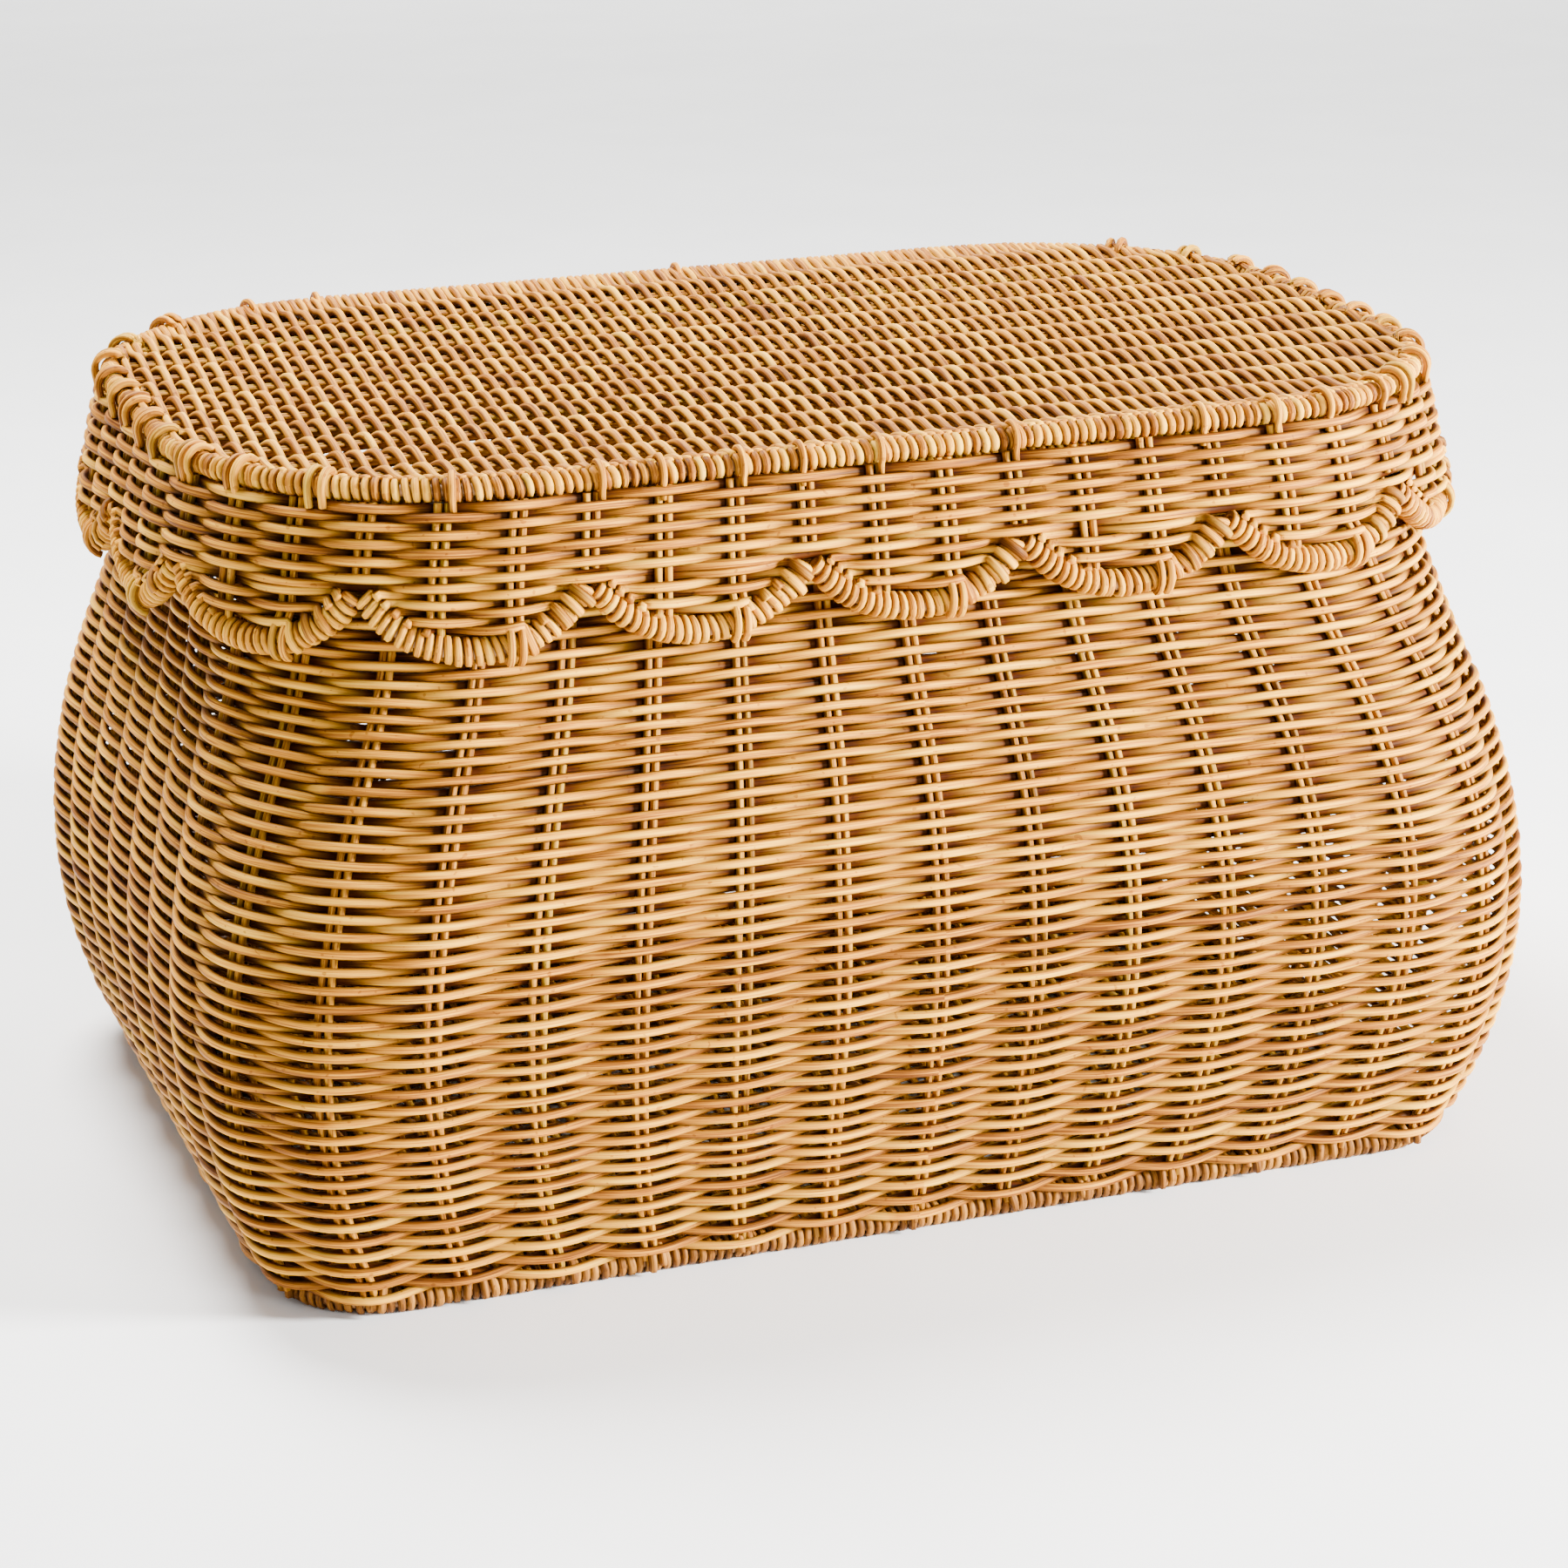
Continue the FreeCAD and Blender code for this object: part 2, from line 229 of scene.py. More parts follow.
class Strands:
    """Tubes of reed, flat on their outer face, gathered into one mesh with what the reed's material reads.

    UV map "strand": metres along the strand and share of the way round it, with its seam inside.
    Attribute "reed": tone, hue, how far out the strand stands (0 to 1), which sets the painted shade, and a
    seed."""

    def __init__(self, seed):
        self.rng = np.random.default_rng(seed)
        self.points, self.quads, self.uvs, self.reeds = [], [], [], []
        self.count = 0

    def add(self, path, out, width, thick=None, closed=False, tone=None, hue=None, depth=1.0):
        """A tube of half width and half thickness; thickness runs along out, the outward direction."""
        path, out = np.asarray(path, float), np.asarray(out, float)
        rings, sides = len(path), STRAND_SIDES
        thick = width if thick is None else thick
        tone = self.rng.uniform() if tone is None else tone
        hue = self.rng.uniform() if hue is None else hue
        if closed:
            tangent = np.roll(path, -1, 0) - np.roll(path, 1, 0)
        else:
            tangent = np.gradient(path, axis=0)
        tangent /= np.linalg.norm(tangent, axis=1)[:, None]
        across = np.cross(tangent, out)
        across /= np.linalg.norm(across, axis=1)[:, None]
        out = np.cross(across, tangent)
        angle = 2 * math.pi * (np.arange(sides) + 0.5) / sides - math.pi / 2
        width, thick = [np.broadcast_to(v, (rings,))[:, None, None] for v in (width, thick)]
        ring = (across[:, None, :] * np.cos(angle)[None, :, None] * width
                + out[:, None, :] * np.sin(angle)[None, :, None] * thick)
        points = (path[:, None, :] + ring).reshape(-1, 3)
        steps = np.linalg.norm(np.diff(path, axis=0, append=path[:1]), axis=1)
        way = np.concatenate([[0], np.cumsum(steps)])
        last = rings if closed else rings - 1
        ring_index, side = np.meshgrid(np.arange(last), np.arange(sides), indexing="ij")
        following = (ring_index + 1) % rings
        beside = (side + 1) % sides
        quads = np.stack([ring_index * sides + side, ring_index * sides + beside,
                          following * sides + beside, following * sides + side], -1).reshape(-1, 4)
        near, far = (side + 0.5) / sides, (side + 1.5) / sides
        uv = np.stack([np.stack([way[ring_index], near], -1), np.stack([way[ring_index], far], -1),
                       np.stack([way[ring_index + 1], far], -1),
                       np.stack([way[ring_index + 1], near], -1)], -2).reshape(-1, 4, 2)
        if not closed:
            half = np.arange(sides // 2 - 1)
            cap = np.stack([half, half + 1, sides - 2 - half, sides - 1 - half], -1)
            caps = np.concatenate([cap[:, ::-1], cap + (rings - 1) * sides])
            quads = np.concatenate([quads, caps])
            uv = np.concatenate([uv, np.full((len(caps), 4, 2), 0.5)])
        reed = np.empty((rings, sides, 4))
        for k, value in enumerate((tone, hue, depth, self.rng.uniform())):
            reed[..., k] = np.broadcast_to(value, (rings,))[:, None]
        self.points.append(points)
        self.quads.append(quads + self.count)
        self.uvs.append(uv)
        self.reeds.append(reed.reshape(-1, 4))
        self.count += len(points)

    def piece(self, name, body, material, replaces=()):
        """One object of all the strands, riding on a body."""
        points, quads = np.concatenate(self.points), np.concatenate(self.quads)
        mesh = bpy.data.meshes.new(name)
        mesh.vertices.add(len(points))
        mesh.vertices.foreach_set("co", points.astype(np.float32).ravel())
        mesh.loops.add(quads.size)
        mesh.loops.foreach_set("vertex_index", quads.astype(np.int32).ravel())
        mesh.polygons.add(len(quads))
        mesh.polygons.foreach_set("loop_start", np.arange(0, quads.size, 4, dtype=np.int32))
        mesh.polygons.foreach_set("use_smooth", np.ones(len(quads), bool))
        mesh.uv_layers.new(name="strand").uv.foreach_set(
            "vector", np.concatenate(self.uvs).astype(np.float32).ravel())
        mesh.attributes.new("reed", "FLOAT_COLOR", "POINT").data.foreach_set(
            "color", np.concatenate(self.reeds).astype(np.float32).ravel())
        mesh.update(calc_edges=True)
        mesh.validate()
        mesh.materials.append(material)
        made = bpy.data.objects.new(name, mesh)
        bpy.context.scene.collection.objects.link(made)
        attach(made, body)
        if replaces:
            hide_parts(*replaces)
        return made


# ---------------------------------------------------------------- materials

class Nodes:
    """Short forms for building a material's node tree."""

    def __init__(self, name):
        self.material = bpy.data.materials.new(name)
        self.material.use_nodes = True
        self.tree = self.material.node_tree
        self.tree.nodes.clear()

    def node(self, kind, settings=None, **inputs):
        made = self.tree.nodes.new(kind)
        for key, value in (settings or {}).items():
            setattr(made, key, value)
        for key, value in inputs.items():
            self.feed(made.inputs[key], value)
        return made

    def feed(self, socket, value):
        """Links another node's output to the socket, or sets a plain value on it."""
        if isinstance(value, bpy.types.NodeSocket):
            self.tree.links.new(value, socket)
        else:
            socket.default_value = value

    def math(self, operation, *values):
        made = self.node("ShaderNodeMath", {"operation": operation})
        for socket, value in zip(made.inputs, values):
            self.feed(socket, value)
        return made.outputs[0]

    def noise(self, vector, scale, detail=2.0, roughness=0.5):
        made = self.node("ShaderNodeTexNoise", Vector=vector, Scale=scale, Detail=detail,
                         Roughness=roughness)
        return made.outputs["Fac"]

    def ramp(self, factor, stops):
        made = self.node("ShaderNodeValToRGB", Fac=factor)
        ramp = made.color_ramp
        while len(ramp.elements) < len(stops):
            ramp.elements.new(0.5)
        for element, (place, colour) in zip(ramp.elements, stops):
            element.position = place
            element.color = (*colour, 1.0)
        return made.outputs["Color"]

    def mix(self, blend, factor, first, second):
        made = self.node("ShaderNodeMix", {"data_type": "RGBA", "blend_type": blend})
        # input 0 is the factor, and 6 and 7 are the node's colour inputs
        for index, value in ((0, factor), (6, first), (7, second)):
            self.feed(made.inputs[index], value)
        return made.outputs[2]


# tints that the palette's colour is multiplied by; the last, the crevice tint, is painted shade
WARM = 1.0, 0.80, 0.60, 1.0
OLIVE = 0.62, 0.86, 0.70, 1.0
PORE = 0.35, 0.20, 0.10, 1.0
CREVICE_SHADE = 0.09, 0.040, 0.020, 1.0


def reed_material(name, stops, shade=1.1, green=0.0, tone_share=0.5):
    """Peeled rattan: long grain, blotches, pores, and painted shade where a strand turns inwards.

    stops is the palette from darkest to palest, shade how much painted shade darkens the inward parts, green
    how much of an olive tint the strands with a high hue get, tone_share how much the strands differ in
    tone."""
    n = Nodes(name)
    strand = n.node("ShaderNodeUVMap", {"uv_map": "strand"}).outputs["UV"]
    uv = n.node("ShaderNodeSeparateXYZ", Vector=strand)
    reed = n.node("ShaderNodeAttribute", {"attribute_name": "reed"})
    parts = n.node("ShaderNodeSeparateColor", Color=reed.outputs["Color"])
    tone, hue, depth = parts.outputs[0], parts.outputs[1], parts.outputs[2]
    seed = n.math("MULTIPLY", reed.outputs["Alpha"], 61.0)

    def along(stretch_along, stretch_round):
        """Coordinates stretched along the strand, different on every strand."""
        return n.node("ShaderNodeCombineXYZ", X=n.math("MULTIPLY", uv.outputs[0], stretch_along),
                      Y=n.math("MULTIPLY", uv.outputs[1], stretch_round), Z=seed).outputs[0]

    grain = n.noise(along(16.0, 12.0), 1.0, 3.0, 0.65)
    fine = n.noise(along(45.0, 34.0), 1.0, 2.0, 0.6)
    blotch = n.noise(along(14.0, 0.8), 1.0, 3.0)
    pores = n.noise(along(330.0, 5.0), 1.0, 0.0)

    # the strand's tone, its grain and its blotches add up to a place in the palette
    factor = n.math("MULTIPLY_ADD", tone, tone_share, 0.2 - 0.5 * tone_share)
    factor = n.math("MULTIPLY_ADD", grain, 1.8, factor)
    factor = n.math("MULTIPLY_ADD", blotch, 0.62, factor)
    factor = n.math("MULTIPLY_ADD", fine, 1.1, factor)
    factor = n.math("SUBTRACT", factor, 1.42)
    colour = n.ramp(factor, stops)

    # warm and olive strands
    warm = n.math("MULTIPLY", n.math("SMOOTH_MIN", hue, 0.5, 0.1), 0.35)
    colour = n.mix("MULTIPLY", warm, colour, WARM)
    if green:
        olive = n.math("MULTIPLY", n.math("GREATER_THAN", hue, 0.75), green)
        colour = n.mix("MULTIPLY", olive, colour, OLIVE)

    # pores and scuffs, then painted shade on the parts that turn inwards
    speck = n.math("MULTIPLY", n.math("GREATER_THAN", pores, 0.78), 0.55)
    colour = n.mix("MULTIPLY", speck, colour, PORE)
    round_it = n.math("COSINE", n.math("MULTIPLY", uv.outputs[1], 2 * math.pi))
    inner_side = n.math("MULTIPLY_ADD", round_it, 0.5, 0.5)
    outer_side = n.math("SUBTRACT", 1.0, inner_side)
    # painted light and shade: seen from outside, the strands that stand out are painted bright; seen from
    # inside, the others are
    set_back = n.math("SUBTRACT", 1.0, depth)
    painted_lit = n.math("MULTIPLY_ADD", depth, outer_side, n.math("MULTIPLY", set_back, inner_side))
    sunk_shade = n.math("MULTIPLY", n.math("POWER", n.math("SUBTRACT", 1.0, painted_lit), 1.05), shade)
    both_sides = n.math("MULTIPLY", n.math("MULTIPLY", inner_side, outer_side), 4.0)
    flank_shade = n.math("POWER", both_sides, 1.5)
    # painted shade: sunk parts and each strand's flanks are darkened towards the crevice tint
    painted_shade = n.math("MINIMUM", n.math("MULTIPLY_ADD", flank_shade, 0.35, sunk_shade), 1.0)
    colour = n.mix("MULTIPLY", painted_shade, colour, CREVICE_SHADE)

    height = n.math("MULTIPLY_ADD", fine, 0.5, grain)
    bump = n.node("ShaderNodeBump", Strength=0.5, Distance=0.5 * MM, Height=height)
    rough = n.math("MULTIPLY_ADD", grain, 0.25, 0.42)
    shader = n.node("ShaderNodeBsdfPrincipled", Roughness=rough, Normal=bump.outputs[0])
    n.tree.links.new(colour, shader.inputs["Base Color"])
    shader.inputs["Specular IOR Level"].default_value = 0.15
    shader.inputs["Specular Tint"].default_value = (1.0, 0.75, 0.45, 1.0)
    n.node("ShaderNodeOutputMaterial", Surface=shader.outputs[0])
    return n.material


def rod_material(name, dark, pale):
    """The bent poles inside the windings: plain rattan with grain in object space."""
    n = Nodes(name)
    place = n.node("ShaderNodeTexCoord").outputs["Object"]
    grain = n.noise(place, 140.0, 4.0, 0.6)
    colour = n.ramp(grain, [(0.3, dark), (0.7, pale)])
    bump = n.node("ShaderNodeBump", Strength=0.3, Distance=0.3 * MM, Height=grain)
    rough = n.math("MULTIPLY_ADD", grain, 0.2, 0.45)
    shader = n.node("ShaderNodeBsdfPrincipled", Roughness=rough, Normal=bump.outputs[0])
    n.tree.links.new(colour, shader.inputs["Base Color"])
    n.node("ShaderNodeOutputMaterial", Surface=shader.outputs[0])
    return n.material


STRAW = [(0.0, (0.150, 0.042, 0.004)), (0.28, (0.38, 0.130, 0.009)), (0.55, (0.70, 0.290, 0.014)),
         (0.80, (0.88, 0.430, 0.022)), (1.0, (0.95, 0.540, 0.045))]
# the foot winding's brown palette, darkened further as painted shade for the foot's place low under the wall
SHADED_BROWN = [(0.0, (0.060, 0.018, 0.003)), (0.35, (0.15, 0.052, 0.007)), (0.65, (0.28, 0.108, 0.013)),
         (1.0, (0.46, 0.200, 0.026))]

WALL_REED = reed_material("wall_reed", STRAW)
LID_REED = reed_material("lid_reed", STRAW)
SKIRT_REED = reed_material("skirt_reed", STRAW)
STAKES = reed_material("stake_rods", STRAW, shade=0.5, green=0.6)
RIM_REED = reed_material("rim_reed", STRAW, shade=0.8, tone_share=0.9)
BINDING = reed_material("binding_reed", STRAW, shade=0.8)
FOOT_BINDING = reed_material("foot_binding", SHADED_BROWN, shade=0.4)
CORE = rod_material("core_rods", (0.30, 0.12, 0.03), (0.55, 0.28, 0.09))


# ---------------------------------------------------------------- measures from the frame

# the middle lines of the three wound rings
RIM_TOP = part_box("lid_ring_binding")[1].z
RIM_Z = RIM_TOP - RIM_ROPE_R
RIM_LINE = tuple(v - RIM_ROPE_R for v in slice_outline("lid_ring_binding", RIM_Z))

MOUTH_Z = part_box("mouth_binding")[1].z - MOUTH_ROPE_R
MOUTH_LINE = tuple(v - MOUTH_ROPE_R for v in slice_outline("mouth_binding", MOUTH_Z))
FOOT_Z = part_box("base_ring_binding")[1].z - FOOT_ROPE_R
FOOT_LINE = tuple(v - FOOT_ROPE_R for v in slice_outline("base_ring_binding", FOOT_Z))

WALL_LOW, WALL_HIGH = (corner.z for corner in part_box("wall_weave"))
WALL = wall_from_node("wall_weave", WALL_LOW + MM, WALL_HIGH - MM, slices=34)

JUNCTION_Z = RIM_TOP - JUNCTION_DROP
SCALLOP_LOW_Z = JUNCTION_Z - SCALLOP_DEPTH


def skirt_wall():
    """The skirt's middle surface. Its ends are cut away low down, so only its width is measured there."""
    low, high = (corner.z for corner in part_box("skirt_weave"))
    heights = np.linspace(low + MM, high - MM, 9)
    top = slice_outline("skirt_weave", heights[-1])
    grown = [slice_outline("skirt_weave", z)[1] - top[1] for z in heights]
    return Wall(heights, [[v + step - WALL_T / 2 for v in top] for step in grown])


SKIRT = skirt_wall()
SCALLOP_WIDTH = outline_length(SKIRT.outline(JUNCTION_Z)) / SCALLOPS
SCALLOP_R = ((SCALLOP_WIDTH / 2) ** 2 + SCALLOP_DEPTH ** 2) / (2 * SCALLOP_DEPTH)
SCALLOP_CENTRE_Z = SCALLOP_LOW_Z + SCALLOP_R


# ---------------------------------------------------------------- weaving

def reed_tones(rng, way, reeds=2):
    """Tone and hue along a long row that is pieced together from a few reeds."""
    cuts = np.sort(rng.uniform(0, 1, reeds))
    which = np.searchsorted(cuts, way) % reeds
    return rng.uniform(0, 1, reeds)[which], rng.uniform(0, 1, reeds)[which]


def weave_rows(wall, heights, stakes, phase, weaver_r, seed, name, body, material, replaces,
               bands=1, dips=None):
    """Rows that go in front of every other pair of stakes, each row the other way from the last.

    phase shifts the weave by a number of pairs, bands is how many pieces the rows are split into, and
    dips is how far each row dips in front of the stakes."""
    samples = 8                # points from one pair of stakes to the next
    fraction = np.arange(stakes * samples) / (stakes * samples)
    reach = (STAKE_R + weaver_r) * SQUEEZE
    shared = np.random.default_rng(seed)
    swell = [(shared.uniform(), shared.uniform(0.02, 0.08), k) for k in (1, 2, 3, 5)]
    for band in range(bands):
        rows = Strands(seed + 1 + band)
        for index in range(len(heights) * band // bands, len(heights) * (band + 1) // bands):
            rng = rows.rng
            side = np.cos(math.pi * (stakes * fraction + phase + index))
            # slow waves are shared by neighbouring rows, so they stay nested
            z = heights[index] + ROW_SWELL * sum(
                np.sin(2 * math.pi * (k * fraction + start + index * drift)) for start, drift, k in swell)
            z = z + wander(rng, fraction, ROW_WANDER, waves=12)
            if dips is not None:
                z = z - dips[index] * side
            swing = reach * side * (1 + wander(rng, fraction, 0.05, waves=16))
            off = swing + wander(rng, fraction, ROW_OFF_WANDER, waves=10)
            path, normal = wall.place(fraction, z, off)
            tone, hue = reed_tones(rng, fraction)
            # a reed is thicker where it passes behind the stakes, which closes the gaps there
            row_r = weaver_r * rng.uniform(0.95, 1.03)
            width = row_r * (1 + wander(rng, fraction, 0.02, waves=9) + 0.09 * (1 - side))
            rows.add(path, normal, width, closed=True, tone=tone, hue=hue, depth=0.5 + 0.5 * side)
        label = name if bands == 1 else "%s_%d" % (name, band + 1)
        rows.piece(label, body, material, replaces)


def stake_pairs(fractions, outline):
    """Fractions of the two rods of each pair."""
    half = STAKE_GAP / 2 / outline_length(outline)
    return [(f - half, f + half) for f in fractions]


def wall_stakes():
    rods = Strands(seed=31)
    z = np.linspace(FOOT_Z + 2 * MM, MOUTH_Z, 40)
    middle = WALL.outline(0.5 * (WALL_LOW + WALL_HIGH))
    for pair in stake_pairs(np.arange(WALL_STAKES) / WALL_STAKES, middle):
        for fraction in pair:
            sway = wander(rods.rng, np.linspace(0, 1, len(z)), STAKE_SWAY, waves=3, periodic=False)
            path, normal = WALL.place(fraction + sway, z)
            rods.add(path, normal, STAKE_R, tone=rods.rng.uniform(0.0, 0.6), depth=0.45)
    rods.piece("wall_stake_rods", "basket", STAKES,
               ["wall_stakes_" + side for side in SIDES])


def wrap(strands, centre, tangent, out, rope_r, half_width, thick, slant=0.0, tone=None):
    """One turn of reed round a rod: its centre, the rod's direction and the outward direction.

    The reed is half_width wide to each side and the turn slants by slant. None of it goes below the
    floor."""
    angle = 2 * math.pi * np.arange(WRAP_CORNERS) / WRAP_CORNERS
    across = np.cross(tangent, out)
    radial = np.cos(angle)[:, None] * out + np.sin(angle)[:, None] * across
    path = centre + radial * (rope_r - thick) + np.outer(np.sin(angle + 0.6), tangent) * slant
    path[:, 2] = np.maximum(path[:, 2], thick)
    # depth falls from the outer side of the turn to its inner side, which the reed's material paints in
    # shade
    strands.add(path, radial, half_width, thick, closed=True, tone=tone, depth=0.6 + 0.4 * np.cos(angle))


def wind_ring(strands, line, z, rope_r, pitch, thick, slant):
    """Turns of reed side by side round a ring that follows an outline."""
    count = int(round(outline_length(line) / pitch))
    fraction = (np.arange(count) + 0.5) / count
    xy, flat_normal = round_outline(line, fraction)
    for k in range(count):
        rng = strands.rng
        out = np.array([*flat_normal[k], 0.0])
        tangent = np.cross(UP, out)
        centre = np.array([*xy[k], z]) + rng.normal(0, TURN_WANDER, 3)
        turn_r = rope_r - abs(rng.normal(0, TURN_UNEVEN))
        half_width = pitch * rng.uniform(0.40, 0.53)
        wrap(strands, centre, tangent, out, turn_r, half_width, thick, slant + rng.normal(0, TURN_UNEVEN))


def inside_outline(outline, x, y):
    half_length, half_width, corner = outline
    past_x = np.maximum(np.abs(x) - (half_length - corner), 0)
    past_y = np.maximum(np.abs(y) - (half_width - corner), 0)
    return np.hypot(past_x, past_y) <= corner


def sag_at(x, y, outline, sag):
    """How far a panel that sags in its middle hangs down at a place."""
    half_length, half_width, _ = outline
    return sag * (1 - (x / half_length) ** 2) * (1 - (y / half_width) ** 2)


def panel_rows(name, body, outline, z, pitches, stringers, sag, seed, material, replaces, end_lift,
               slants=(0.0, 0.0)):
    """Rows of a flat panel: they run from front to back, over and under the lengthwise rods.

    pitches are at the left end and the right, slants the rows' slant in the middle and how it changes by the
    right end, and end_lift how far the ends of the rows climb."""
    half_length, half_width, _ = outline
    rows = Strands(seed)
    pitch = sum(pitches) / 2
    reach = half_length + abs(slants[0]) * half_width
    count = int(2 * reach / pitch)
    ease = (pitches[0] - pitches[1]) / (2 * pitch)
    step = 2 * half_width / (stringers + 1)
    amplitude = STAKE_R + PANEL_WEAVER_R
    for index in range(count + 1):
        rng = rows.rng
        share = 2 * index / count - 1
        middle_x = reach * (share - 0.5 * ease * (share ** 2 - 1))
        slant = slants[0] + slants[1] * middle_x / half_length
        y = np.linspace(-half_width, half_width, 400)
        y = y[inside_outline(outline, middle_x + slant * y, y)]
        if len(y) < 2 or y[-1] - y[0] < 8 * pitch:
            continue
        low, high = y[0], y[-1]
        y = np.linspace(low, high, max(int((high - low) / PANEL_STEP), 12))
        x = middle_x + slant * y
        side = np.cos(math.pi * ((y + half_width) / step + index))
        # the waves die out towards the rim, where the row climbs onto it
        edge = np.clip(np.minimum(y - low, high - y) / (0.8 * step), 0, 1)
        edge = edge * edge * (3 - 2 * edge)
        swing = amplitude * side * edge * (1 + wander(rng, y / half_width, 0.08, waves=8, periodic=False))
        off = swing + end_lift * (1 - edge)
        drop = sag_at(x, y, outline, sag)
        drift = wander(rng, y / half_width, PANEL_ROW_WANDER, waves=5, periodic=False) * edge
        path = np.column_stack([x + drift, y, z + off - drop])
        tone, hue = rng.uniform(0, 1), rng.uniform(0, 1)
        row_r = PANEL_WEAVER_R * rng.uniform(0.93, 1.05)
        rows.add(path, np.tile(UP, (len(y), 1)), row_r, tone=tone, hue=hue,
                 depth=0.5 + 0.5 * np.maximum(side * edge, 1 - edge))
    rows.piece(name, body, material, replaces)


def panel_stringers(name, body, outline, z, stringers, sag, seed, replaces, over_rim):
    """Pairs of lengthwise rods; over_rim carries their ends over the rim and down its outside."""
    half_length, half_width, corner = outline
    rods = Strands(seed)
    for index in range(stringers):
        for side in (-0.5, 0.5):
            rng = rods.rng
            y = -half_width + 2 * half_width / (stringers + 1) * (index + 1) + side * STRINGER_GAP
            past_corner = max(abs(y) - (half_width - corner), 0.0)
            reach = half_length - corner + math.sqrt(corner ** 2 - past_corner ** 2)
            x = np.linspace(-reach + 2 * MM, reach - 2 * MM, 60)
            drop = sag_at(x, y, outline, sag)
            sway = wander(rng, x / half_length, STRINGER_WANDER, waves=4, periodic=False)
            path = np.column_stack([x, y + sway, z - drop])
            if over_rim:
                left_end = arch_over_rim(path[0], rng)[::-1]
                path = np.concatenate([left_end, path, arch_over_rim(path[-1], rng)])
            out = np.tile(UP, (len(path), 1))
            past_end = np.abs(path[:, 0]) > reach
            if over_rim:
                # the outer face turns from up to outward on the way over the rim
                outward = path * [1, 1, 0] / np.linalg.norm(path[:, :2], axis=1)[:, None]
                low = np.clip((RIM_Z - path[:, 2]) / (2 * MM), 0, 1)[:, None]
                out = np.where(past_end[:, None], UP + 1.2 * outward + low * outward, out)
            rods.add(path, out, STAKE_R, tone=rng.uniform(0.0, 0.7), depth=np.where(past_end, 1.0, 0.2))
    rods.piece(name, body, STAKES, replaces)


def arch_over_rim(start, rng):
    """Points from a stringer's end over the rim and down to the skirt's first rows."""
    outward = start * [1, 1, 0]
    corner_centre = np.array([RIM_LINE[0] - RIM_LINE[2], RIM_LINE[1] - RIM_LINE[2], 0.0])
    outward = outward - np.sign(outward) * np.minimum(np.abs(outward), corner_centre)
    outward = outward / np.linalg.norm(outward)
    rim_point = start * [1, 1, 0] + outward * (RIM_ROPE_R + 2 * MM) + UP * RIM_Z
    reach = RIM_ROPE_R + STAKE_R * rng.uniform(0.8, 1.3)
    angle = np.radians(np.linspace(150, -15, 12))
    arch = rim_point + np.outer(np.cos(angle), outward) * reach + np.outer(np.sin(angle), UP) * reach
    tail = arch[-1] - UP * 6 * MM + outward * -1.0 * MM
    return np.concatenate([arch, [tail]])


# ---------------------------------------------------------------- pieces of the basket

def foot_knots(strands):
    """Each pair of wall stakes turns out under the last row and over the foot ring."""
    rng = strands.rng
    for pair in stake_pairs(np.arange(WALL_STAKES) / WALL_STAKES, FOOT_LINE):
        for fraction in pair:
            xy, flat = round_outline(FOOT_LINE, np.array([fraction]))
            out = np.array([*flat[0], 0.0])
            reach = FOOT_ROPE_R + STAKE_R * rng.uniform(0.1, 0.6)
            angle = np.radians(np.linspace(115, rng.uniform(-25, 5), 9))
            radial = np.outer(np.cos(angle), out) + np.outer(np.sin(angle), UP)
            lean = np.outer(np.linspace(0, rng.normal(0, 2.5) * MM, len(angle)), np.cross(UP, out))
            strands.add(np.array([*xy[0], FOOT_Z]) + radial * reach + lean, radial, STAKE_R * 1.1,
                        tone=rng.uniform(0, 0.8))


def basket_pieces():
    last_row = MOUTH_Z - MOUTH_ROPE_R - WEAVER_R
    heights = WALL.row_heights(FOOT_Z + FIRST_ROW_RISE, last_row, WALL_ROW_PITCHES)
    dips = FIRST_ROW_DIP * np.exp(-np.arange(len(heights)) / DIPPING_ROWS)
    weave_rows(WALL, heights, WALL_STAKES, 0, WEAVER_R, 100, "wall_rows", "basket", WALL_REED,
               ("wall_weave",), WALL_BANDS, dips)
    wall_stakes()

    foot = Strands(seed=41)
    wind_ring(foot, FOOT_LINE, FOOT_Z, FOOT_ROPE_R, FOOT_PITCH, FOOT_WRAP_T, slant=0.4 * MM)
    foot_knots(foot)
    foot.piece("foot_ring_winding", "basket", FOOT_BINDING, ("base_ring_binding",))

    mouth = Strands(seed=43)
    wind_ring(mouth, MOUTH_LINE, MOUTH_Z, MOUTH_ROPE_R, MOUTH_PITCH, MOUTH_WRAP_T, slant=0.8 * MM)
    mouth.piece("mouth_ring_winding", "basket", BINDING, ("mouth_binding",))

    low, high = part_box("floor_weave")
    floor_z = (low.z + high.z) / 2
    outline = tuple(v - FOOT_ROPE_R for v in FOOT_LINE)
    panel_rows("floor_rows", "basket", outline, floor_z, (FLOOR_PITCH, FLOOR_PITCH), FLOOR_STRINGERS,
               sag=0.0, seed=51, material=WALL_REED, replaces=("floor_weave",),
               end_lift=0.0)
    panel_stringers("floor_stringer_rods", "basket", outline, floor_z, FLOOR_STRINGERS, sag=0.0, seed=53,
                    replaces=("floor_stringers",), over_rim=False)


# ---------------------------------------------------------------- pieces of the lid

def scallop_z(share):
    """Height of a scallop's rod at a share of its width."""
    return SCALLOP_CENTRE_Z - np.sqrt(SCALLOP_R ** 2 - ((share - 0.5) * SCALLOP_WIDTH) ** 2)


